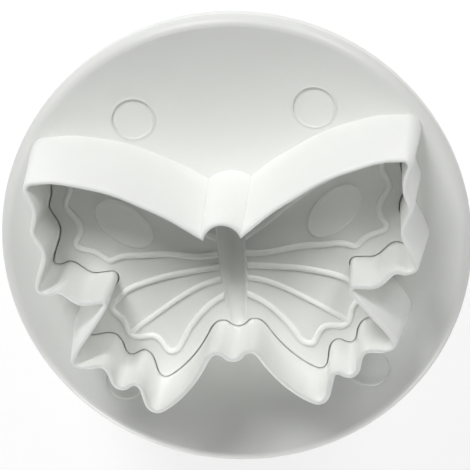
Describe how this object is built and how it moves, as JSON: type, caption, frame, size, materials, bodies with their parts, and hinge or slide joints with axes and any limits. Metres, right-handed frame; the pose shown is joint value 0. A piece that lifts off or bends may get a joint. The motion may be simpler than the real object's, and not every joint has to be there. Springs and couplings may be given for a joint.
{
  "type": "plunger cutter",
  "caption": "White plastic plunger cutter with a butterfly-shaped cutting wall on a round dished flange and a spring-return embossing plate",
  "frame": {"origin": "centre of the push knob's flat end, on which the cutter stands", "axes": "+Z along the plunger from the knob to the cutting edge, +Y towards the butterfly's head, +X towards its right wing"},
  "size_m": [0.077, 0.077, 0.059],
  "materials": {
    "white_body": "smooth moulded white plastic",
    "white_plate": "satin moulded white plastic",
    "steel": "bright stainless steel"
  },
  "bodies": {
    "plunger": {"push_knob": "white_body", "plunger_stem": "white_plate", "embossing_plate": "white_plate", "knob_screw": "steel", "knob_cap": "white_body", "return_spring": "steel"},
    "cutter": {"cutter_body": "white_body"}
  },
  "joints": [
    {"name": "plunger_slide", "type": "slide", "parent": "plunger", "child": "cutter", "axis": [0, 0, -1], "range_m": [0, 0.0135], "stiffness_N_per_m": 280, "springref_m": -0.01, "deforming": ["return_spring"]}
  ]
}
